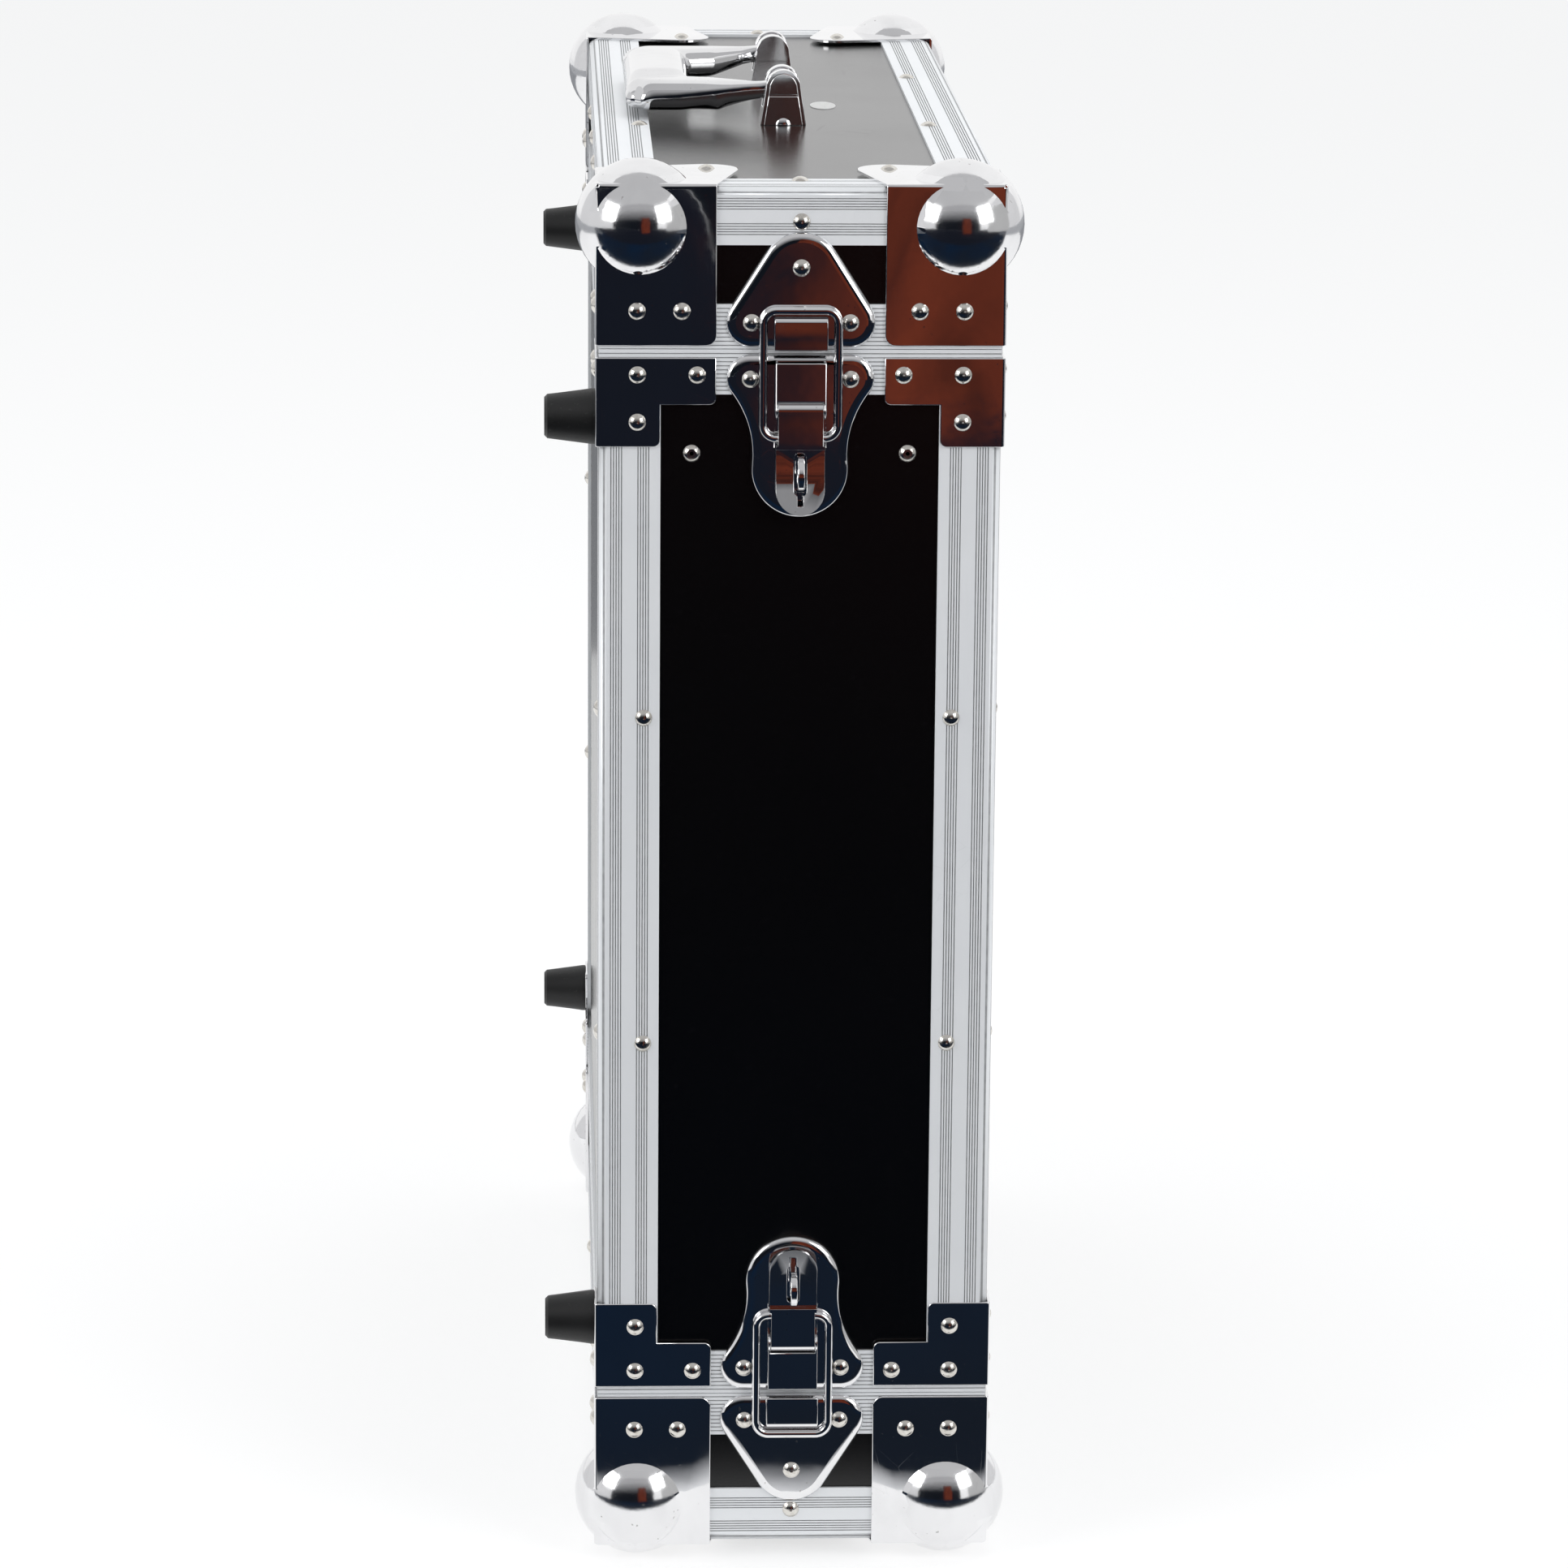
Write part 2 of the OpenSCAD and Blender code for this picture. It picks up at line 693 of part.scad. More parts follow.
module ring_corner() intersection() {
  rotate_extrude() translate([ring_r - ring_bar / 2, 0]) circle(d = ring_bar);
  translate([0, 0, -ring_bar]) cube([2 * ring_r, 2 * ring_r, 2 * ring_bar]);
}

// a loop of round bar, whose lower side is the axle in the lever
module latch_ring() color("gainsboro") on_face(axle_at[0]) rotate([90, 0, 0]) {
  turn_r = ring_r - ring_bar / 2;
  side = (ring_w - ring_bar) / 2;
  low = axle_at[1];
  high = hook_top + ring_gap + ring_bar / 2;
  for (at = [low, high]) translate([0, at, 0]) rotate([0, 90, 0])
    cylinder(d = ring_bar, h = 2 * (side - turn_r), center = true);
  mirrored_x() {
    translate([side, low + turn_r, 0]) rotate([-90, 0, 0])
      cylinder(d = ring_bar, h = high - low - 2 * turn_r);
    translate([side - turn_r, high - turn_r, 0]) ring_corner();
    translate([side - turn_r, low + turn_r, 0]) mirror([0, 1, 0]) ring_corner();
  }
}

module latch_pins() color("silver") for (end = ["front", "rear"]) at_end(end) mirrored_y()
  crossbar(pin_at, latch_pin_d, bridge_w);

// handle, with Z = 0 at the outer face of the lid's edging: its feet stand on the panel

module ear_2d(inset = 0) {
  top = ear_top_r - inset;
  foot = ear_w / 2 - inset;
  polygon([[-foot, -alu_t], [foot, -alu_t], [top, pivot_h], [-top, pivot_h]]);
  translate([0, pivot_h]) circle(top);
}

// an end bracket with its outer face at Y = 0: bevelled face, slot for the arm, pin hole
module handle_bracket() color("gainsboro") difference() {
  union() {
    translate([0, ear_l, 0]) rotate([90, 0, 0]) linear_extrude(ear_l - ear_bevel) ear_2d();
    translate([0, ear_bevel, 0]) rotate([90, 0, 0]) linear_extrude(ear_bevel) ear_2d(ear_bevel);
    difference() {
      translate([0, ear_boss_in, -alu_t]) sphere(ear_boss_r);
      translate([0, 0, -reach / 2 - alu_t]) cube(reach, center = true);
    }
  }
  translate([-ear_w / 2, -cut, ear_line_z]) cube([ear_w, cut + ear_line_depth, ear_line_h]);
  translate([-ear_w, (ear_l - ear_slot) / 2, ear_slot_floor]) cube([2 * ear_w, ear_slot, reach]);
  handle_pin(2 * pin_play);
}

module handle_pin(play = 0) translate([0, ear_l / 2, pivot_h]) rotate([90, 0, 0])
  cylinder(d = handle_pin_d + play, h = ear_l - 2 * ear_bevel, center = true);

module grip_ball(x, y, r) translate([x, y, grip_low + max(r, grip_edge_r)]) sphere(r, $fn = 28);

// the cast bail: an eye and an arm at each end, and the crowned grip between them
module handle_bail() color("gainsboro") difference() {
  arm_y = (handle_l - ear_l) / 2;
  grip_out = -bail_reach + grip_edge_r;
  grip_in = -bail_reach + grip_w - grip_edge_r;
  union() {
    mirrored_y() translate([0, -arm_y, pivot_h]) rotate([90, 0, 0])
      cylinder(r = eye_r, h = arm_w, center = true);
    mirrored_y() hull() {
      translate([-eye_r, -arm_y, pivot_h - arm_r / 2]) rotate([90, 0, 0])
        cylinder(r = arm_r, h = arm_w, center = true, $fn = 32);
      grip_ball(grip_in, -arm_y, grip_edge_r);
      grip_ball(grip_out + grip_edge_r, -arm_y, grip_edge_r);
    }
    mirrored_y() hull() for (flare = [0, arm_flare])
      grip_ball(grip_in + arm_flare - flare, flare - arm_y, grip_edge_r);
    hull() for (s = [-1, 1]) {
      grip_ball(grip_in, s * arm_y, grip_edge_r);
      grip_ball(grip_out, s * (arm_y - grip_edge_r), grip_edge_r);
      grip_ball(grip_in - grip_mid_r / 2, s * arm_y * grip_mid_share, grip_mid_r);
      grip_ball(grip_out + grip_mid_r / 2, s * arm_y * grip_mid_share, grip_mid_r);
    }
  }
  mirrored_y() translate([0, -handle_l / 2, 0]) handle_pin(2 * pin_play);
}

module on_lid_face() at_end("front") translate([0, 0, lid_l]) children();

// rubber feet

// each foot's frame: X out of the bottom face, on the narrow leg of a bracket
module each_foot() for (z = [rear_z + bracket_rivets[2][1], front_z - bracket_rivets[2][1]])
  mirrored_y() translate([-case_h / 2 - plate_t, -case_w / 2 + foot_in, z])
  rotate([0, -90, 0]) children();

module foot() rotate_extrude() polygon([
  [foot_screw_d / 2, 0], [foot_base_d / 2, 0], [foot_base_d / 2, plate_t],
  [foot_end_d / 2, foot_h - plate_t], [foot_end_d / 2 - plate_t, foot_h],
  [screw_well_d / 2, foot_h], [screw_well_d / 2, foot_floor], [foot_screw_d / 2, foot_floor]]);

module foot_screw() {
  translate([0, 0, foot_floor]) cylinder(d = screw_head_d, h = screw_head_h);
  translate([0, 0, -wall_t - plate_t])
    cylinder(d = foot_screw_d - 2 * pin_play, h = wall_t + plate_t + foot_floor);
}

module foot_screw_hole() translate([0, 0, -wall_t - plate_t - cut])
  cylinder(d = foot_screw_d, h = wall_t + 2 * plate_t + 2 * cut);

// rack rails

function rail_holes() = [for (u = [0 : rack_units - 1], h = unit_holes)
  (u - rack_units / 2) * unit_h + h];

// holes or shanks of the rivets that hold the near rail, from the front seam
module rail_rivet_shanks(play = 0) mirrored_x()
  translate([rail_rivet_x, -case_w / 2 + alu_t, rail_rivet_z]) rotate([-90, 0, 0])
  cylinder(d = rail_rivet_d + 2 * play, h = ply_t + rail_t);

module rack_rail() color([0.15, 0.15, 0.16]) difference() {
  rail_l = inner_h - rail_end_gap;
  translate([-rail_l / 2, -inner_w / 2, -rail_set - rail_flange]) difference() {
    cube([rail_l, rail_w, rail_flange]);
    translate([-cut, rail_t, -cut]) cube([rail_l + 2 * cut, rail_w, rail_flange - rail_t + cut]);
  }
  for (x = rail_holes()) translate([x, -inner_w / 2 + rail_w - rail_hole_in, -rail_set - rail_t - cut])
    cylinder(d = rail_hole_d, h = rail_t + 2 * cut);
  rail_rivet_shanks(pin_play);
}

// blind rivets with a cupped head, the hole of the broken mandrel, and a tail behind
module rail_rivets() color("gainsboro") mirrored_y() difference() {
  mirrored_x() translate([rail_rivet_x, -case_w / 2 + alu_t, rail_rivet_z]) {
    rotate([90, 0, 0]) difference() {
      rivet();
      translate([0, 0, rail_rivet_floor]) cylinder(d = rail_rivet_cup, h = rivet_h);
    }
    rotate([-90, 0, 0]) cylinder(d = rail_rivet_d, h = ply_t + rail_t);
    translate([0, ply_t + rail_t, 0]) rotate([-90, 0, 0])
      cylinder(d = rivet_d - rivet_h, h = rail_tail_h);
  }
  mirrored_x() translate([rail_rivet_x, -case_w / 2 - rivet_d, rail_rivet_z]) rotate([-90, 0, 0])
    cylinder(d = rail_rivet_hole, h = reach);
}

// the whole case

module placed() translate([case_x, 0, 0]) children();

for (side = ["near", "far"]) {
  placed() at_side(side) side_panel();
  at_end("front") at_side(side) rack_rail();
  for (level = ["bottom", "top"])
    placed() at_level(level) at_side(side) difference() {
        edge_angle();
        if (level == "bottom") each_foot() foot_screw_hole();
      }
}
placed() bottom_panel();
placed() at_level("top") level_panel();  // top_panel
at_end("front") rail_rivets();
body_rivets();
placed() color([0.08, 0.08, 0.08]) each_foot() foot();  // rubber_feet
placed() color("gray") each_foot() foot_screw();  // foot_screws
latch_pins();
for (end = ["front", "rear"]) {
  at_end(end) seam_frame();
  difference() {
    at_end(end) corner_brackets();
    placed() each_foot() foot_screw_hole();
  }
  at_end(end) lid_face();
  at_end(end) lid_edges();
  at_end(end) lid_seam_frame();
  at_end(end) lid_foam();
  at_end(end) ball_corners();
  at_end(end) lid_rivets();
  for (level = ["bottom", "top"])
    at_end(end) at_level(level) lid_level_wall();
  for (side = ["near", "far"]) {
    at_end(end) at_side(side) lid_side_wall();
    at_end(end) at_side(side) keeper();
    at_end(end) at_side(side) latch_base();
    at_end(end) at_side(side) latch_lever();
    at_end(end) at_side(side) latch_ring();
  }
}
for (side = ["near", "far"])
  on_lid_face() at_side(side) translate([0, -handle_l / 2, 0]) handle_bracket();
on_lid_face() handle_bail();
color("silver") on_lid_face() mirrored_y()  // handle_pins
  translate([0, -handle_l / 2, 0]) handle_pin();
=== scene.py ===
# A flight case for rack equipment, standing on its rear lid: the finishes of its panels,
# extrusions and fittings, and the pieces that are finer than the frame's solids.

import json
import math

import bmesh
import bpy
from mathutils import Matrix, Vector, noise

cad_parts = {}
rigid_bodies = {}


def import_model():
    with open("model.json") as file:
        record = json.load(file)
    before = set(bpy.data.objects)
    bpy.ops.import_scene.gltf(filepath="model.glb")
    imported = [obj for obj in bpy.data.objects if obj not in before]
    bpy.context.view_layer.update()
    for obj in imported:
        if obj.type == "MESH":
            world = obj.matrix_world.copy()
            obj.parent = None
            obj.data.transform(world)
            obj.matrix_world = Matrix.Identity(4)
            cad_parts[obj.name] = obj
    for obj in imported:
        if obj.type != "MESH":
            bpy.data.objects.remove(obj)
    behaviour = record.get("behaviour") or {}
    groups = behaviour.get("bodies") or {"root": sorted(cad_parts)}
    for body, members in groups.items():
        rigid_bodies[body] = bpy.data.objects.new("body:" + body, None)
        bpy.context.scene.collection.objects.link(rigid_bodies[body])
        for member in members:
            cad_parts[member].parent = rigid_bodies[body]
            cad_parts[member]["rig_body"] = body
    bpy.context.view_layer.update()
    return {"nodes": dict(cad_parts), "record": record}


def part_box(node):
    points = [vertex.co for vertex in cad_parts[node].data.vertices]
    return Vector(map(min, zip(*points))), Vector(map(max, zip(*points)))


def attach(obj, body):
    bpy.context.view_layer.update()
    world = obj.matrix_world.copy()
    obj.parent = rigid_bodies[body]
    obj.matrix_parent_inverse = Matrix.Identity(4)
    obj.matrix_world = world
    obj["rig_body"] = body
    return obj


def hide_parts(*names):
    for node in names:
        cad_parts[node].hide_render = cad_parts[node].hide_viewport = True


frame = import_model()
nodes = frame["nodes"]

MM = 0.001
ENDS = ("front", "rear")
SIDES = ("near", "far")


# Shaders

class Value:
    """A socket of a shader's graph. An expression on values adds its Math nodes."""

    def __init__(self, graph, socket):
        self.graph = graph
        self.socket = socket

    def _math(self, operation, *terms):
        return self.graph.node("ShaderNodeMath", {"operation": operation},
                               dict(enumerate(terms)))

    def __add__(self, other): return self._math("ADD", self, other)
    def __radd__(self, other): return self._math("ADD", other, self)
    def __rsub__(self, other): return self._math("SUBTRACT", other, self)
    def __mul__(self, other): return self._math("MULTIPLY", self, other)
    def __rmul__(self, other): return self._math("MULTIPLY", other, self)

    def most(self, other): return self._math("MAXIMUM", self, other)

    def between(self, low, high):
        """0 below low, 1 above high, and a straight climb between them."""
        return self.graph.node("ShaderNodeMapRange", {"clamp": True},
                               {"Value": self, "From Min": low, "From Max": high})


class Graph:
    """The node tree of a material or world, emptied and under construction."""

    def __init__(self, tree):
        self.tree = tree
        self.tree.nodes.clear()

    def node(self, kind, settings=None, sockets=None, out=0):
        """Adds a node, and gives one of its outputs as a value."""
        made = self.tree.nodes.new(kind)
        for name, setting in (settings or {}).items():
            setattr(made, name, setting)
        for name, given in (sockets or {}).items():
            self.feed(made.inputs[name], given)
        return Value(self, made.outputs[out])

    def feed(self, socket, given):
        if isinstance(given, Value):
            self.tree.links.new(given.socket, socket)
        elif socket.type == "RGBA" and len(given) == 3:
            socket.default_value = (*given, 1)
        else:
            socket.default_value = given

    def end_in(self, shader, output="ShaderNodeOutputMaterial"):
        made = self.tree.nodes.new(output)
        self.tree.links.new(shader.socket, made.inputs["Surface"])


class Finish(Graph):
    """A material under construction: its graph, its coordinates and its patterns."""

    def __init__(self, name):
        self.material = bpy.data.materials.new(name)
        self.material.use_nodes = True
        super().__init__(self.material.node_tree)
        self.place = self.node("ShaderNodeTexCoord", out="Object")

    def part_of_place(self, axis):
        return self.node("ShaderNodeSeparateXYZ", {}, {"Vector": self.place}, out=axis)

    def stretched(self, place, stretch):
        return self.node("ShaderNodeVectorMath", {"operation": "MULTIPLY"},
                         {0: place, 1: stretch})

    def noise(self, scale, detail=2.0, stretch=(1, 1, 1), rough=0.5, warp=0.0):
        """Noise from 0 to 1, in spots per metre, with stretch as a factor on each axis."""
        return self.node("ShaderNodeTexNoise", {}, {
            "Vector": self.stretched(self.place, stretch), "Scale": scale, "Detail": detail,
            "Roughness": rough, "Distortion": warp})

    def scratches(self, scale, stretch, turn, width):
        """Fine lines that wander along one direction: 1 on a line, 0 beside it."""
        turned = self.node("ShaderNodeMapping", {}, {"Vector": self.place, "Rotation": turn})
        cells = self.node("ShaderNodeTexVoronoi", {"feature": "DISTANCE_TO_EDGE"}, {
            "Vector": self.stretched(turned, stretch), "Scale": scale})
        return 1 - cells.between(0, width)

    def mix(self, share, one, other):
        """A colour that goes from one to other as share goes from 0 to 1."""
        return self.node("ShaderNodeMix", {"data_type": "RGBA"}, {0: share, 6: one, 7: other},
                         out=2)

    def bump(self, height, strength, depth):
        return self.node("ShaderNodeBump", {}, {
            "Height": height, "Strength": strength, "Distance": depth})

    def finished(self, **sockets):
        """Ends in one Principled shader, and gives the material."""
        self.end_in(self.node("ShaderNodeBsdfPrincipled", {}, {
            name.replace("_", " "): given for name, given in sockets.items()}, out="BSDF"))
        return self.material


# Finishes

def black_laminate():
    """Phenolic film on plywood: near black, with a fine pebbled grain, dust and light scuffs."""
    f = Finish("black laminate")
    grain = f.noise(1500, 3, rough=0.65)
    clouds = f.noise(14, 3)
    dust = f.noise(420, 2).between(0.7, 0.78)
    scuff = f.scratches(60, (1, 1, 0.12), (0.5, 0.3, 0.2), 0.012)
    scuff = scuff * f.noise(9).between(0.55, 0.7)
    colour = f.mix(grain.between(0.35, 0.7), (0.0006, 0.0006, 0.0007), (0.0016, 0.0016, 0.0018))
    colour = f.mix(dust * 0.2, colour, (0.012, 0.012, 0.013))
    colour = f.mix(scuff * 0.06, colour, (0.012, 0.012, 0.013))
    rough = 0.17 + 0.05 * clouds + 0.05 * grain + 0.04 * scuff
    return f.finished(Base_Color=colour, Roughness=rough, IOR=1.6,
                      Normal=f.bump(grain, 0.2, 0.00008))


def satin_aluminium():
    """Drawn and anodised extrusion: a satin sheen with fine lines along its length."""
    f = Finish("satin aluminium")
    upright = f.noise(900, 2, stretch=(1, 1, 0.02))
    across = f.noise(900, 2, stretch=(1, 0.02, 1))
    drawn = upright * 0.5 + across * 0.5
    clouds = f.noise(25, 2)
    nicks = f.scratches(90, (1, 0.4, 1), (0.3, 0.7, 0.4), 0.01)
    nicks = nicks * f.noise(12).between(0.58, 0.72)
    colour = f.mix(clouds, (0.86, 0.88, 0.905), (0.92, 0.935, 0.95))
    colour = f.mix(nicks * 0.4, colour, (0.6, 0.61, 0.63))
    rough = 0.36 + 0.1 * drawn + 0.05 * clouds
    return f.finished(Base_Color=colour, Metallic=0.3, Roughness=rough,
                      Normal=f.bump(drawn, 0.25, 0.00006))


def bright_plate(name, colour, rough, wave):
    """Nickel and chrome plate on pressed steel: a slightly wavy mirror with wiped smears."""
    f = Finish(name)
    smear = f.noise(38, 4, stretch=(1, 1, 0.6), rough=0.6, warp=0.5).between(0.42, 0.7)
    specks = f.noise(650, 1).between(0.74, 0.78)
    lines = f.scratches(120, (1, 1, 0.25), (0.4, 0.5, 0.9), 0.008)
    lines = lines * f.noise(22).between(0.52, 0.66)
    tint = f.mix(smear, colour, tuple(0.93 * c for c in colour))
    tint = f.mix(specks * 0.5, tint, (0.45, 0.44, 0.43))
    finish = rough + 0.05 * smear + 0.12 * lines + 0.15 * specks
    waves = f.noise(26, 1) * wave + f.noise(160, 1) * (wave * 0.06)
    return f.finished(Base_Color=tint, Metallic=1.0, Roughness=finish,
                      Normal=f.bump(waves, 0.6, 0.001))


def dull_ball_plate():
    """Plate on a deep-drawn ball: less bright than on a flat sheet, with a fine orange peel."""
    f = Finish("ball plate")
    peel = f.noise(700, 2)
    wiped = f.noise(60, 3, stretch=(1, 1, 0.4), warp=0.5).between(0.4, 0.7)
    nicks = f.noise(420, 1).between(0.75, 0.78)
    colour = f.mix(wiped, (0.84, 0.84, 0.85), (0.78, 0.78, 0.79))
    colour = f.mix(nicks * 0.6, colour, (0.35, 0.34, 0.33))
    return f.finished(Base_Color=colour, Metallic=1.0,
                      Roughness=0.11 + 0.04 * wiped + 0.15 * nicks,
                      Normal=f.bump(peel, 0.15, 0.0001))


def groove_shadow():
    """The grooves of an extrusion, where shade and grey dirt gather."""
    f = Finish("groove shadow")
    dirt = f.noise(300, 3).between(0.3, 0.7)
    colour = f.mix(dirt, (0.34, 0.345, 0.355), (0.46, 0.465, 0.475))
    return f.finished(Base_Color=colour, Metallic=0.3, Roughness=0.5 + 0.2 * dirt)


def rivet_nickel():
    """Nickel plate on rivet heads, worn duller in spots."""
    f = Finish("nickel rivet")
    worn = f.noise(500, 3, rough=0.6).between(0.4, 0.75)
    colour = f.mix(worn, (0.74, 0.72, 0.68), (0.6, 0.57, 0.52))
    return f.finished(Base_Color=colour, Metallic=1.0, Roughness=0.13 + 0.18 * worn,
                      Normal=f.bump(f.noise(900, 2), 0.1, 0.0001))


def plain_steel():
    """Turned steel, with fine rings of the tool."""
    f = Finish("plain steel")
    turned = f.noise(1200, 2, stretch=(0.05, 1, 1))
    return f.finished(Base_Color=(0.5, 0.5, 0.51), Metallic=1.0, Roughness=0.28 + 0.15 * turned)


def black_rail():
    """Black passivated steel, with bright metal showing at the worn places."""
    f = Finish("black rail")
    worn = f.noise(70, 5, rough=0.7).between(0.68, 0.78)
    grain = f.noise(1100, 2)
    colour = f.mix(worn * 0.6, (0.018, 0.018, 0.02), (0.25, 0.25, 0.26))
    return f.finished(Base_Color=colour, Metallic=0.6, Roughness=0.36 + 0.12 * grain,
                      Normal=f.bump(grain, 0.15, 0.0001))


def black_rubber():
    """Moulded rubber: matt, with a fine skin, a mould line's haze and some dust."""
    f = Finish("black rubber")
    skin = f.noise(1300, 3, rough=0.6)
    bloom = f.noise(60, 3).between(0.4, 0.8)
    dust = f.noise(700, 1).between(0.68, 0.76)
    colour = f.mix(bloom * 0.6, (0.003, 0.0032, 0.0035), (0.009, 0.0095, 0.010))
    colour = f.mix(dust * 0.3, colour, (0.04, 0.04, 0.04))
    return f.finished(Base_Color=colour, Roughness=0.42 + 0.15 * skin,
                      Normal=f.bump(skin, 0.3, 0.00012))


def pale_enamel():
    """Pale satin lacquer, a little uneven and dusty."""
    f = Finish("pale enamel")
    dust = f.noise(700, 2).between(0.6, 0.8)
    colour = f.mix(dust, (0.62, 0.62, 0.61), (0.5, 0.5, 0.49))
    return f.finished(Base_Color=colour, Roughness=0.35 + 0.2 * dust,
                      Normal=f.bump(f.noise(900, 2), 0.1, 0.00005))


def grey_foam():
    """Open-cell foam: soft, dark and full of small pits, with painted shade in the pits."""
    f = Finish("grey foam")
    cells = f.node("ShaderNodeTexVoronoi", {"feature": "F1"}, {"Vector": f.place, "Scale": 900.0})
    pits = cells.between(0.1, 0.6)
    shade = f.noise(30, 3)
    # the pits are painted darker in their middles: painted shade in the hollows of the cells
    colour = f.mix(pits, (0.02, 0.02, 0.022), (0.075, 0.075, 0.08))
    colour = f.mix(shade * 0.3, colour, (0.1, 0.1, 0.105))
    return f.finished(Base_Color=colour, Roughness=0.95, Sheen_Weight=0.25,
                      Normal=f.bump(pits, 0.7, 0.0006))


FINISHES = {
    "laminated_plywood": black_laminate(),
    "aluminium_extrusion": satin_aluminium(),
    "chromed_steel": bright_plate("bright plate", (0.86, 0.86, 0.87), 0.03, 0.25),
    # the handle's plate is painted darker than the other plate (0.78 against 0.86): painted
    # shade, so that its grip is not blown out white
    "handle_chrome": bright_plate("handle plate with painted shade", (0.78, 0.78, 0.79), 0.03, 0.1),
    "nickel_rivet": rivet_nickel(),
    "steel_pin": plain_steel(),
    "black_steel": black_rail(),
    "rubber": black_rubber(),
    "foam": grey_foam(),
}
SLOTS = {part["node"]: part["material_slot"] for part in frame["record"]["subparts"]}

for node, slot in SLOTS.items():
    mesh = nodes[node].data
    mesh.materials.clear()
    mesh.materials.append(FINISHES[slot])


# Pieces with rounded edges, made from the frame's own solids

# the outer face of the pressed latch plates, and the round rim along its outline
RIM_PLANE = 254.6 * MM
RIM_HEIGHT = 1.95 * MM
RIM_STRETCH = 0.85
RIM_SEGMENTS = 7
# the slight rounding of every other edge
EDGE_WIDTH = 0.32 * MM
EDGE_SEGMENTS = 2
SHARP_EDGE = math.radians(38)
# faces that meet at less are shaded smooth: first plain ones, then rounded ones
SMOOTH_BELOW = (math.radians(30), math.radians(65))
# faces that meet at less are one flat face, and points that are closer are one point
FLAT = math.radians(1)
SAME_POINT = 0.002 * MM
# the digits of a metre that tell places apart when parts are sorted by place
SORT_DIGITS = 6
# the outer faces of the case, which the fittings stand on
CASE_HALF_W = 252.5 * MM
CASE_LOW_X, CASE_HIGH_X = -69.7 * MM, 81.3 * MM
CASE_LOW_Z, CASE_HIGH_Z = 8.6 * MM, 540.6 * MM
# what stands out further than this on a ball corner is its ball
BALL_PROUD = 1.6 * MM
GROOVE_DEPTH = 0.35 * MM
# play for telling whether points lie on the rim's plane, past a groove's floor or past
# the bracket's face, and the least mean depth of a groove's face
RIM_PLANE_PLAY = 0.03 * MM
NEAR = 0.02 * MM
LEAST_GROOVE = 0.05 * MM
# the outer face of the handle's brackets, and how far their boss is sunk into it
BRACKET_FACE_Y = 70 * MM
BOSS_SUNK_SHARE = 0.5


def mesh_of(name, form):
    mesh = bpy.data.meshes.new(name)
    form.to_mesh(mesh)
    form.free()
    return mesh


def new_piece(name, mesh, *finishes):
    piece = bpy.data.objects.new(name, mesh)
    bpy.context.collection.objects.link(piece)
    for finish in finishes:
        mesh.materials.append(finish)
    if "custom_normal" in mesh.attributes:
        mesh.attributes.remove(mesh.attributes["custom_normal"])
    return piece


def stands_for(piece, node):
    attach(piece, nodes[node]["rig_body"])
    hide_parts(node)


def merged_copy(node, one_flat=True):
    """The node's solid as one closed mesh, with its flat faces joined if asked."""
    solid = bmesh.new()
    solid.from_mesh(nodes[node].data)
    bmesh.ops.remove_doubles(solid, verts=solid.verts, dist=SAME_POINT)
    if one_flat:
        bmesh.ops.dissolve_limit(solid, angle_limit=FLAT, verts=solid.verts, edges=solid.edges)
    return solid


def chains(edges):
    """The edges in groups that share corners, always in the same order."""
    edges = list(edges)
    left = set(edges)
    for first in edges:
        if first not in left:
            continue
        left.remove(first)
        chain = [first]
        for edge in chain:
            for corner in edge.verts:
                for other in corner.link_edges:
                    if other in left:
                        left.remove(other)
                        chain.append(other)
        yield chain


def put_in_order(solid):
    """Makes the form anew with its parts sorted by place, because the order that operators
    leave varies from run to run. Its layers have to be looked up again after this."""
    for parts, place in ((solid.verts, lambda corner: corner.co),
                         (solid.edges, lambda edge: edge.verts[0].co + edge.verts[1].co),
                         (solid.faces, lambda face: face.calc_center_median())):
        by_place = sorted(parts, key=lambda part: place(part).to_tuple(SORT_DIGITS))
        rank = {part: index for index, part in enumerate(by_place)}
        parts.sort(key=rank.get)
    mesh = bpy.data.meshes.new("in order")
    solid.to_mesh(mesh)
    solid.clear()
    solid.from_mesh(mesh)
    bpy.data.meshes.remove(mesh)


def corner_edges(solid, rounded):
    """The sharp outer edges that no rounded face touches yet."""
    return [edge for edge in solid.edges
            if edge.is_manifold and edge.is_convex and edge.calc_face_angle() > SHARP_EDGE
            and not any(face[rounded] for face in edge.link_faces)]


def round_off(solid, chain, width, segments, rounded, careful=True):
    made = bmesh.ops.bevel(solid, geom=chain, offset=width, offset_type="OFFSET",
                           segments=segments, profile=0.5, affect="EDGES",
                           clamp_overlap=careful, material=-1)
    for face in made["faces"]:
        face[rounded] = 1


def nearest_on(lines, at):
    """The nearest point to at on a list of straight lines."""
    best = None
    for start, end in lines:
        along = end - start
        share = max(0.0, min(1.0, (at - start).dot(along) / along.length_squared))
        point = start + share * along
        if best is None or (point - at).length < (best - at).length:
            best = point
    return best


def widen_rim(solid, rounded, lines):
    """Draws the round rim inwards from the outline, so that it is wider than it is high."""
    for corner in solid.verts:
        if any(face[rounded] for face in corner.link_faces):
            level = Vector((corner.co.x, lines[0][0].y, corner.co.z))
            corner.co += (level - nearest_on(lines, level)) * RIM_STRETCH


def on_rim_plane(edge):
    return all(abs(abs(corner.co.y) - RIM_PLANE) < RIM_PLANE_PLAY for corner in edge.verts)


def flat_of_plate(solid):
    """The faces that lie flat on the rim's plane, outside the round rim."""
    rounded = solid.faces.layers.int["rounded"]
    return [face for face in solid.faces
            if not face[rounded] and all(on_rim_plane(edge) for edge in face.edges)]


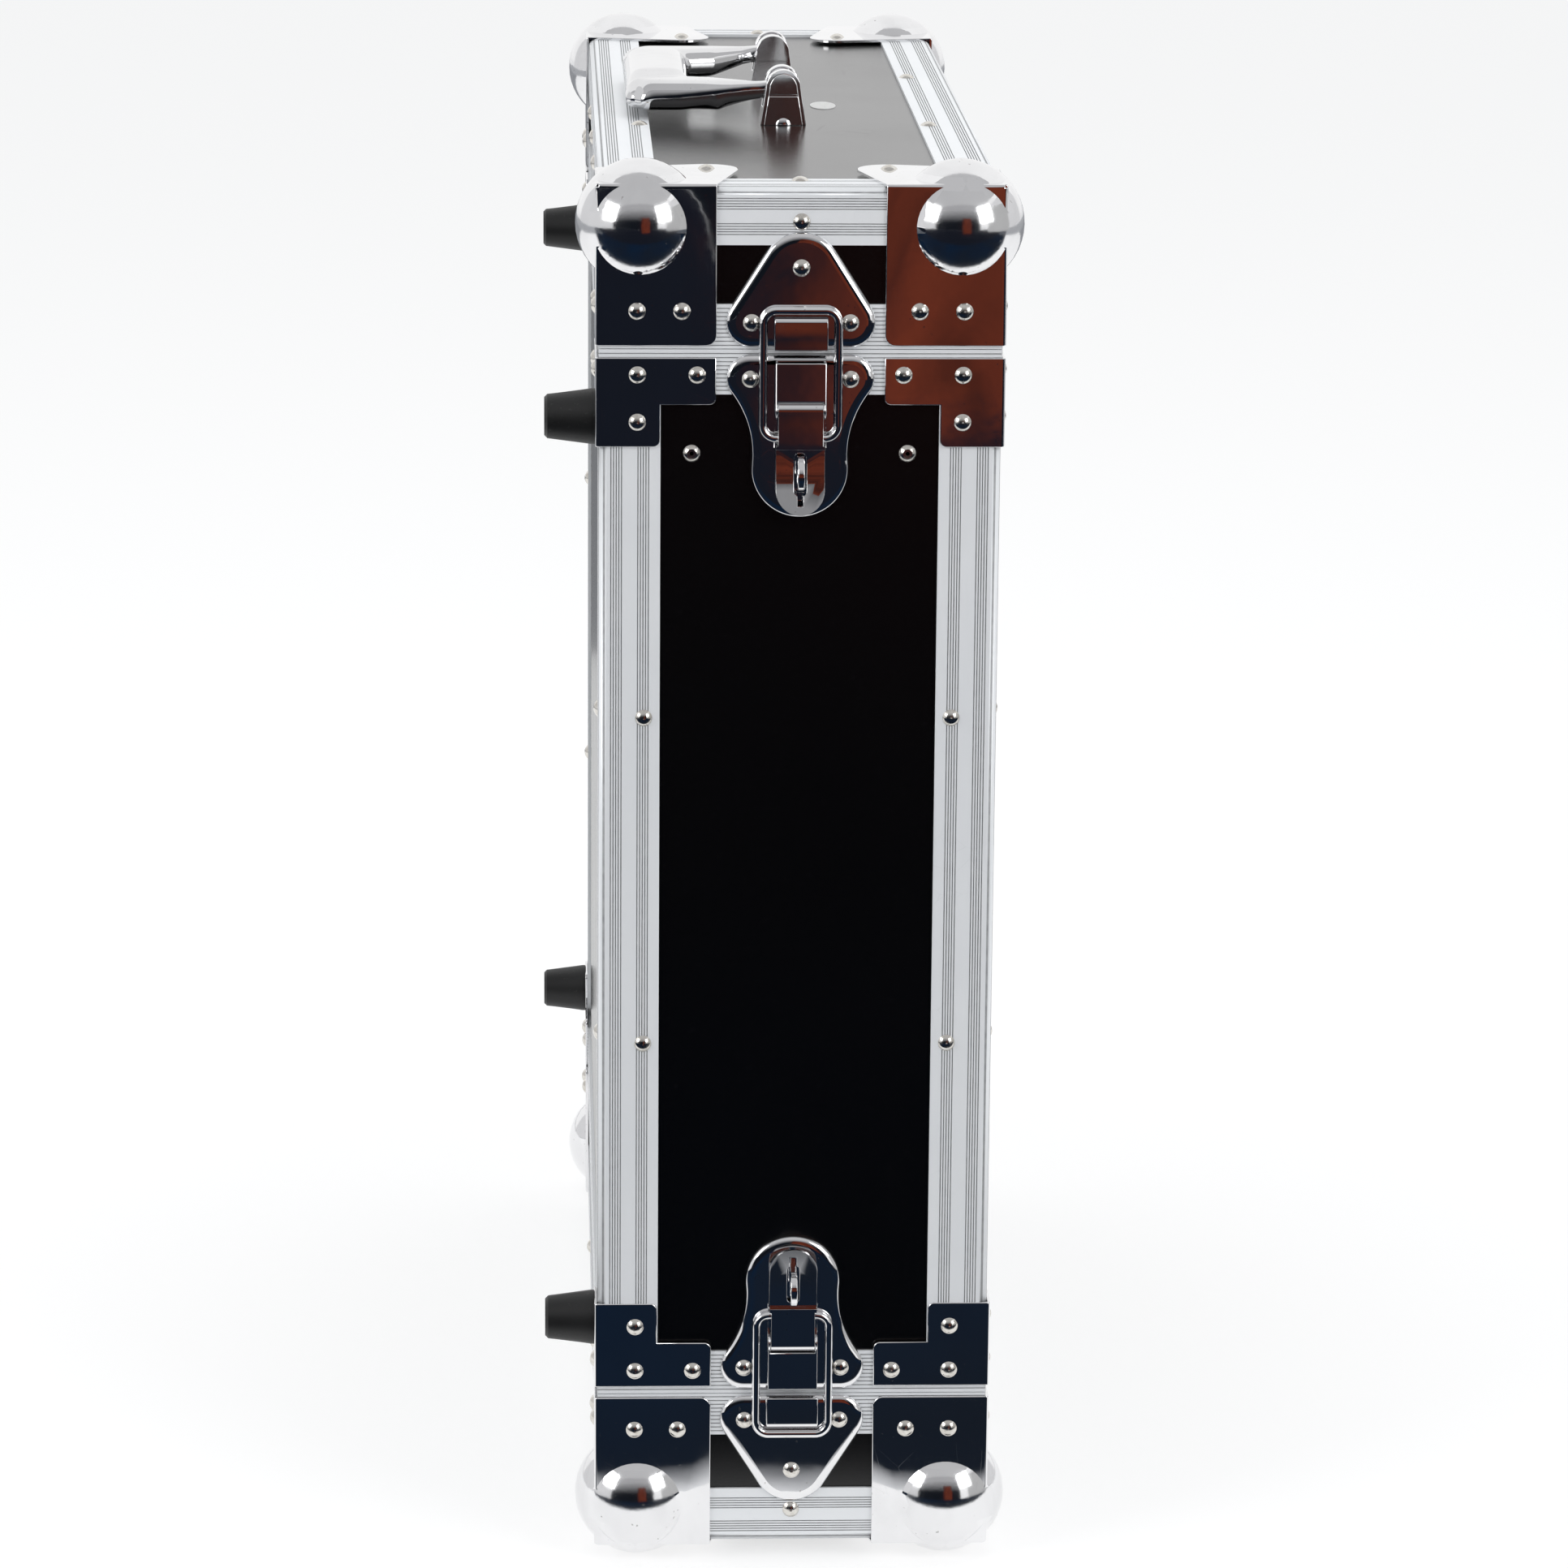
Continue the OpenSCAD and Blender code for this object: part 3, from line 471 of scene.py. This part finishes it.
def refill_plate(solid):
    """Fills the plate's flat face anew, between its moved rim and the openings in it."""
    flats = flat_of_plate(solid)
    outwards = flats[0].normal.copy()
    around = [edge for face in flats for edge in face.edges
              if sum(other in flats for other in edge.link_faces) == 1]
    within = dict.fromkeys(edge for face in flats for edge in face.edges
                           if edge not in around)
    bmesh.ops.delete(solid, geom=flats, context="FACES_ONLY")
    bmesh.ops.delete(solid, geom=list(within), context="EDGES")
    bmesh.ops.triangle_fill(solid, edges=around, use_beauty=True, normal=outwards)
    put_in_order(solid)
    edges = dict.fromkeys(edge for face in flat_of_plate(solid) for edge in face.edges)
    bmesh.ops.dissolve_limit(solid, angle_limit=FLAT, verts=[], edges=list(edges))


def round_rim(solid, rounded, middle_x):
    """Rounds the outline of a latch plate's outer face, the widest chain of edges there."""
    def half_width(chain):
        return max(abs(corner.co.x - middle_x) for edge in chain for corner in edge.verts)

    outline = max(chains(edge for edge in corner_edges(solid, rounded) if on_rim_plane(edge)),
                  key=half_width)
    lines = [tuple(corner.co.copy() for corner in edge.verts) for edge in outline]
    round_off(solid, outline, RIM_HEIGHT, RIM_SEGMENTS, rounded, careful=False)
    widen_rim(solid, rounded, lines)
    put_in_order(solid)
    refill_plate(solid)


def sink_boss(solid):
    """Sinks the boss on a handle bracket's outer face to a shallow dome."""
    for corner in solid.verts:
        proud = abs(corner.co.y) - BRACKET_FACE_Y
        if proud > NEAR:
            corner.co.y -= math.copysign(BOSS_SUNK_SHARE * proud, corner.co.y)


def outer_depth(at):
    """How far a point lies inside the case's nearest outer face, less than 0 outside it."""
    return min(CASE_HALF_W - abs(at.y), at.x - CASE_LOW_X, CASE_HIGH_X - at.x,
               at.z - CASE_LOW_Z, CASE_HIGH_Z - at.z)


def on_ball(face):
    return all(outer_depth(corner.co) < -BALL_PROUD for corner in face.verts)


def in_groove(face):
    depths = [outer_depth(corner.co) for corner in face.verts]
    return max(depths) < GROOVE_DEPTH + NEAR and sum(depths) > LEAST_GROOVE * len(depths)


SECOND_FINISHES = {on_ball: dull_ball_plate(), in_groove: groove_shadow()}


def finish_apart(solid, second):
    """Gives the faces that second picks the second finish of two."""
    for face in solid.faces:
        face.material_index = 1 if second and second(face) else 0


def eased(node, rim=False, second=None, reshape=None):
    """A copy of a node with its edges rounded, and a wide round rim on a pressed plate."""
    solid = merged_copy(node)
    rounded = solid.faces.layers.int.new("rounded")
    if reshape:
        reshape(solid)
    if rim:
        round_rim(solid, rounded, sum(corner[0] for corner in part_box(node)) / 2)
        rounded = solid.faces.layers.int["rounded"]
    for chain in list(chains(corner_edges(solid, rounded))):
        round_off(solid, chain, EDGE_WIDTH, EDGE_SEGMENTS, rounded)
    put_in_order(solid)
    rounded = solid.faces.layers.int["rounded"]
    bmesh.ops.recalc_face_normals(solid, faces=solid.faces)
    for face in solid.faces:
        face.smooth = True
    for edge in solid.edges:
        kinds = {face[rounded] for face in edge.link_faces}
        edge.smooth = len(kinds) == 1 and edge.calc_face_angle(0) < SMOOTH_BELOW[max(kinds)]
    finish_apart(solid, second)
    name = node + "_eased"
    finishes = [FINISHES[SLOTS[node]]] + ([SECOND_FINISHES[second]] if second else [])
    stands_for(new_piece(name, mesh_of(name, solid), *finishes), node)


def grooved(node):
    """A copy of an extrusion whose fine grooves hold shade and dirt."""
    solid = merged_copy(node)
    finish_apart(solid, in_groove)
    name = node + "_grooved"
    stands_for(new_piece(name, mesh_of(name, solid), FINISHES[SLOTS[node]],
                         SECOND_FINISHES[in_groove]), node)


for end in ENDS:
    eased(f"{end}_ball_corners", second=on_ball)
    eased(f"{end}_corner_brackets")
    for side in SIDES:
        eased(f"keeper_{end}_{side}", rim=True)
        eased(f"latch_base_{end}_{side}", rim=True)
        eased(f"latch_lever_{end}_{side}")
for side in SIDES:
    eased(f"handle_bracket_{side}", reshape=sink_boss)
for end in ENDS:
    for extrusions in ("seam_frame", "lid_seam_frame", "lid_edges"):
        grooved(f"{end}_{extrusions}")
for side in SIDES:
    for level in ("bottom", "top"):
        grooved(f"edge_angle_{level}_{side}")


# The handle

# the balls that span one blade-shaped arm: place along X and Y, height, and radius, in mm
BLADE_BALLS = (
    (-3.2, 57.95, 552.6, 3.0), (-3.2, 60.05, 552.6, 3.0),
    (-21.0, 57.1, 550.1, 6.0), (-21.0, 49.6, 550.1, 6.0),
    (-46.5, 57.1, 550.1, 6.0), (-51.0, 50.0, 550.1, 6.0), (-34.0, 45.0, 550.1, 6.0),
)
CAST_GRAIN = 0.75 * MM
CAST_ROUNDS = 12


def blade(side):
    """The mesh of one blade, stretched over its balls; side is -1 or 1."""
    skin = bmesh.new()
    for x, y, z, radius in BLADE_BALLS:
        bmesh.ops.create_icosphere(skin, subdivisions=3, radius=radius * MM,
                                   matrix=Matrix.Translation((x * MM, side * y * MM, z * MM)))
    bmesh.ops.delete(skin, geom=skin.edges[:], context="EDGES_FACES")
    bmesh.ops.convex_hull(skin, input=skin.verts)
    bmesh.ops.delete(skin, geom=[v for v in skin.verts if not v.link_faces], context="VERTS")
    bmesh.ops.recalc_face_normals(skin, faces=skin.faces)
    return mesh_of("blade", skin)


def cast_handle():
    """The handle bail with blade-shaped arms that flow into the grip, as a casting's do."""
    rough_form = merged_copy("handle_bail", one_flat=False)
    for side in (-1, 1):
        arm = blade(side)
        rough_form.from_mesh(arm)
        bpy.data.meshes.remove(arm)
    mesh = mesh_of("handle_bail_cast", rough_form)
    piece = new_piece("handle_bail_cast", mesh, FINISHES["handle_chrome"])
    remesh = piece.modifiers.new("even faces", "REMESH")
    remesh.mode = "VOXEL"
    remesh.voxel_size = CAST_GRAIN
    even = bpy.data.meshes.new_from_object(
        piece.evaluated_get(bpy.context.evaluated_depsgraph_get()))
    piece.modifiers.clear()
    cast = bmesh.new()
    cast.from_mesh(even)
    for _ in range(CAST_ROUNDS):
        bmesh.ops.smooth_vert(cast, verts=cast.verts, factor=0.5, use_axis_x=True,
                              use_axis_y=True, use_axis_z=True)
    for face in cast.faces:
        face.smooth = True
    cast.to_mesh(mesh)
    cast.free()
    bpy.data.meshes.remove(even)
    stands_for(piece, "handle_bail")


cast_handle()


# The foam pads inside the lids

PAD_CUTS = 23
# the glue under a pad, how far its sides draw in over all and at the faces, and their waves
PAD_GLUE = 0.1 * MM
PAD_DRAW_IN = 1.2 * MM
PAD_FACE_DRAW_IN = 1.0 * MM
PAD_WAVE = 0.35 * MM
# a pad's thickness at its edge, and what its crown and its unevenness add, as shares
PAD_EDGE_SHARE, PAD_CROWN_SHARE, PAD_UNEVEN_SHARE = 0.78, 0.2, 0.02


def foam_pad(end):
    """A pad of soft foam glued into a lid: crowned, with rounded edges and drawn-in sides."""
    node = f"{end}_lid_foam"
    low, high = (Vector(corner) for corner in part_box(node))
    size = high - low
    inwards, glued = (-1, high.z) if end == "front" else (1, low.z)
    pad = bmesh.new()
    bmesh.ops.create_cube(pad, size=1.0)
    bmesh.ops.subdivide_edges(pad, edges=pad.edges, cuts=PAD_CUTS, use_grid_fill=True)
    for corner in pad.verts:
        x, y, z = (2 * part for part in corner.co)
        crown = (1 - x ** 8) * (1 - y ** 8)
        uneven = noise.noise(Vector((x * 3.1, y * 7.3, z * 2.0)))
        draw_in = PAD_DRAW_IN + z * z * PAD_FACE_DRAW_IN + PAD_WAVE * uneven
        thick = (size.z - 2 * PAD_GLUE) * (PAD_EDGE_SHARE + PAD_CROWN_SHARE * crown ** 0.4
                                           + PAD_UNEVEN_SHARE * uneven * crown)
        from_glue = (inwards * z + 1) / 2
        corner.co = Vector((low.x + size.x / 2 + x * (size.x / 2 - draw_in),
                            low.y + size.y / 2 + y * (size.y / 2 - draw_in),
                            glued + inwards * (PAD_GLUE + thick * from_glue)))
    bmesh.ops.recalc_face_normals(pad, faces=pad.faces)
    for face in pad.faces:
        face.smooth = True
    piece = new_piece(f"{end}_lid_pad", mesh_of(f"{end}_lid_pad", pad), FINISHES["foam"])
    stands_for(piece, node)


for end in ENDS:
    foam_pad(end)


# The oval on the front lid

OVAL_MIDDLE = (24.3 * MM, -7.5 * MM)
OVAL_HALF = (5.25 * MM, 11.5 * MM)
OVAL_HEIGHT = 0.25 * MM
OVAL_EDGE = 0.1 * MM


def blank_oval():
    """A plain pale oval on the front lid's panel, left bare."""
    panel_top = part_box("front_lid_face")[1][2]
    disc = bmesh.new()
    bmesh.ops.create_circle(disc, cap_ends=True, segments=64, radius=1.0)
    raised = bmesh.ops.extrude_face_region(disc, geom=disc.faces[:])
    for part in raised["geom"]:
        if isinstance(part, bmesh.types.BMVert):
            part.co.z = 1
    bmesh.ops.recalc_face_normals(disc, faces=disc.faces)
    top_edges = [edge for edge in disc.edges if all(v.co.z > 0.5 for v in edge.verts)]
    for v in disc.verts:
        v.co = Vector((OVAL_MIDDLE[0] + v.co.x * OVAL_HALF[0],
                       OVAL_MIDDLE[1] + v.co.y * OVAL_HALF[1],
                       panel_top + v.co.z * OVAL_HEIGHT))
    bmesh.ops.bevel(disc, geom=top_edges, offset=OVAL_EDGE, segments=2, profile=0.5,
                    affect="EDGES", material=-1)
    piece = new_piece("blank_oval", mesh_of("blank_oval", disc), pale_enamel())
    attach(piece, nodes["front_lid_face"]["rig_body"])


blank_oval()


# Studio: the floor, lamps and cards, and the camera

CAMERA_PLACE = (-0.0909855, -2.5425259, 0.8647443)
CAMERA_YAW, CAMERA_PITCH, CAMERA_ROLL = -0.0401, 0.2363, 0.0082
SENSOR_WIDTH, FOCAL_LENGTH = 36.0, 142.66
# each softbox: name, place, aim, width and height, glow, and whether plate mirrors it
SOFTBOXES = (
    ("left softbox", (-1.87, -1.39, 1.32), (0, -0.25, 0.5), (1.05, 1.1), 4.0, True),
    ("right softbox", (1.57, -1.77, 1.32), (0, -0.25, 0.5), (1.05, 1.1), 4.0, True),
    ("top softbox", (0, 0.4, 2.6), (0, 0, 0.3), (2.4, 2.4), 1.0, False),
)


def flat_sheet(name, centre, across, along):
    """A flat sheet round its centre, spanned by two half-width vectors."""
    sheet = bmesh.new()
    turn = Matrix((across, along, Vector(across).cross(Vector(along)).normalized())).transposed()
    bmesh.ops.create_grid(sheet, x_segments=1, y_segments=1, size=1.0,
                          matrix=Matrix.Translation(centre) @ turn.to_4x4())
    thing = bpy.data.objects.new(name, mesh_of(name, sheet))
    bpy.context.collection.objects.link(thing)
    return thing


def reflected_card(name, centre, across, along, colour):
    """A card of the studio that only bright surfaces see; colour is a colour or a pattern."""
    card = flat_sheet(name, centre, across, along)
    f = Finish(name)
    shade = colour(f) if callable(colour) else colour
    f.end_in(f.node("ShaderNodeEmission", {}, {"Color": shade, "Strength": 1.0}))
    card.data.materials.append(f.material)
    card.visible_camera = False
    card.visible_diffuse = False
    card.visible_shadow = False
    card.visible_transmission = False


def red_brown(f):
    """A red-brown hanging: near black at its left and foot, with dark patches."""
    across = f.part_of_place("X").between(0.1, 0.19)
    height = f.part_of_place("Z")
    above = height.between(0.15, 0.2)
    patch = f.noise(5.0, 3).between(0.42, 0.62) * (0.35 + 0.65 * height.between(0.04, 0.09))
    dark = f.mix(patch, (0.008, 0.0095, 0.015), (0.05, 0.013, 0.009))
    folds = f.noise(4.5, 4).between(0.42, 0.7)
    red = f.mix(folds, (0.15, 0.031, 0.016), (0.05, 0.014, 0.010))
    return f.mix(across.most(above), dark, red)


def navy(f):
    """A navy carpet that ends in a cloudy edge on the pale floor, close before the case."""
    streak = f.noise(1.4, 2).between(0.35, 0.65)
    dark = f.mix(streak, (0.005, 0.014, 0.034), (0.009, 0.013, 0.021))
    edge = f.part_of_place("Y") + 0.05 * f.noise(9, 3)
    return f.mix(edge.between(-0.335, -0.305), dark, (0.75, 0.76, 0.78))


def lit_wall(f):
    """A wall that is near black below and greyer towards the ceiling."""
    return f.mix(f.part_of_place("Z").between(1.3, 3.4), (0.0060, 0.0080, 0.0120),
                 (0.42, 0.42, 0.43))


def studio_cards():
    """The room that the chrome mirrors."""
    reflected_card("front wall", (-1.25, -5.0, 2.25), (4.25, 0, 0), (0, 0, 2.25), lit_wall)
    reflected_card("ceiling", (-0.5, -2.0, 4.5), (5.0, 0, 0), (0, 3.0, 0), (0.55, 0.55, 0.56))
    reflected_card("navy carpet near", (-0.5, -0.69, 0.002), (4.0, 0, 0), (0, 0.36, 0), navy)
    reflected_card("navy carpet far", (-0.5, -3.0, 0.002), (4.0, 0, 0), (0, 1.95, 0),
                   (0.0085, 0.0105, 0.017))
    reflected_card("red-brown hanging", (0.41, -2.7, 0.6), (0.34, 0, 0), (0, 0, 0.6), red_brown)
    reflected_card("right panel", (2.9, -1.2, 1.0), (0.5, 1.2, 0), (0, 0, 1.0), (0.5, 0.5, 0.5))
    for name, side in (("left", -1), ("right", 1)):
        reflected_card(f"{name} wall", (5.6 * side, 0, 2.25), (0, 5.0, 0), (0, 0, 2.25),
                       (0.74, 0.74, 0.75))
        reflected_card(f"{name} carpet", (3.4 * side, 2.2, 0.002), (1.4, 0, 0), (0, 3.2, 0),
                       (0.42, 0.43, 0.45))
    reflected_card("back carpet", (0, 3.4, 0.002), (2.0, 0, 0), (0, 2.0, 0),
                   (0.30, 0.31, 0.33))


def shown_or_lit(graph, shown, lit):
    """One shader where the camera or a reflection sees it, another where it lights things."""
    path = graph.tree.nodes.new("ShaderNodeLightPath")
    seen = Value(graph, path.outputs["Is Camera Ray"])
    for ray in ("Is Glossy Ray", "Is Transmission Ray"):
        seen = seen.most(Value(graph, path.outputs[ray]))
    return graph.node("ShaderNodeMixShader", {}, {0: seen, 1: lit, 2: shown})


def studio_floor():
    """Pale paper with a soft shadow, white where no shadow falls."""
    floor = flat_sheet("floor", (0, 0, 0), (30.0, 0, 0), (0, 30.0, 0))
    f = Finish("pale floor")
    paper = f.node("ShaderNodeBsdfDiffuse", {}, {"Color": (0.8, 0.8, 0.8)})
    shaded = f.node("ShaderNodeBsdfDiffuse", {}, {"Color": (0.42, 0.42, 0.42)})
    glow = f.node("ShaderNodeEmission", {}, {"Color": (1, 1, 1), "Strength": 0.66})
    shown = f.node("ShaderNodeAddShader", {}, {0: shaded, 1: glow})
    f.end_in(shown_or_lit(f, shown, paper))
    floor.data.materials.append(f.material)


def studio_world():
    """White behind the case, and a fainter, cooler light from all round."""
    world = bpy.data.worlds.new("studio")
    world.use_nodes = True
    bpy.context.scene.world = world
    around = Graph(world.node_tree)
    white = around.node("ShaderNodeBackground", {}, {"Color": (1, 1, 1), "Strength": 1.0})
    fill = around.node("ShaderNodeBackground", {}, {"Color": (0.96, 0.98, 1), "Strength": 0.6})
    around.end_in(shown_or_lit(around, white, fill), "ShaderNodeOutputWorld")


def softbox(name, place, aim, size, glow, mirrored):
    lamp = bpy.data.lights.new(name, "AREA")
    lamp.shape = "RECTANGLE"
    lamp.size, lamp.size_y = size
    lamp.energy = glow * math.pi * size[0] * size[1]
    box = bpy.data.objects.new(name, lamp)
    box.location = place
    box.rotation_euler = (Vector(aim) - Vector(place)).to_track_quat("-Z", "Y").to_euler()
    box.visible_glossy = mirrored
    bpy.context.collection.objects.link(box)


def photographer():
    """The camera at the photograph's place and angle."""
    ahead = Vector((-math.cos(CAMERA_PITCH) * math.sin(CAMERA_YAW),
                    math.cos(CAMERA_PITCH) * math.cos(CAMERA_YAW), -math.sin(CAMERA_PITCH)))
    right = Vector((math.cos(CAMERA_YAW), math.sin(CAMERA_YAW), 0))
    up = right.cross(ahead)
    turned_right = math.cos(CAMERA_ROLL) * right + math.sin(CAMERA_ROLL) * up
    turned_up = math.cos(CAMERA_ROLL) * up - math.sin(CAMERA_ROLL) * right
    turn = Matrix((turned_right, turned_up, -ahead)).transposed().to_4x4()
    lens = bpy.data.cameras.new("camera")
    lens.sensor_width = SENSOR_WIDTH
    lens.lens = FOCAL_LENGTH
    lens.clip_end = 100.0
    camera = bpy.data.objects.new("camera", lens)
    camera.matrix_world = Matrix.Translation(CAMERA_PLACE) @ turn
    bpy.context.collection.objects.link(camera)
    bpy.context.scene.camera = camera


photographer()
studio_world()
studio_floor()
studio_cards()
for box in SOFTBOXES:
    softbox(*box)
bpy.context.scene.view_settings.view_transform = "Standard"
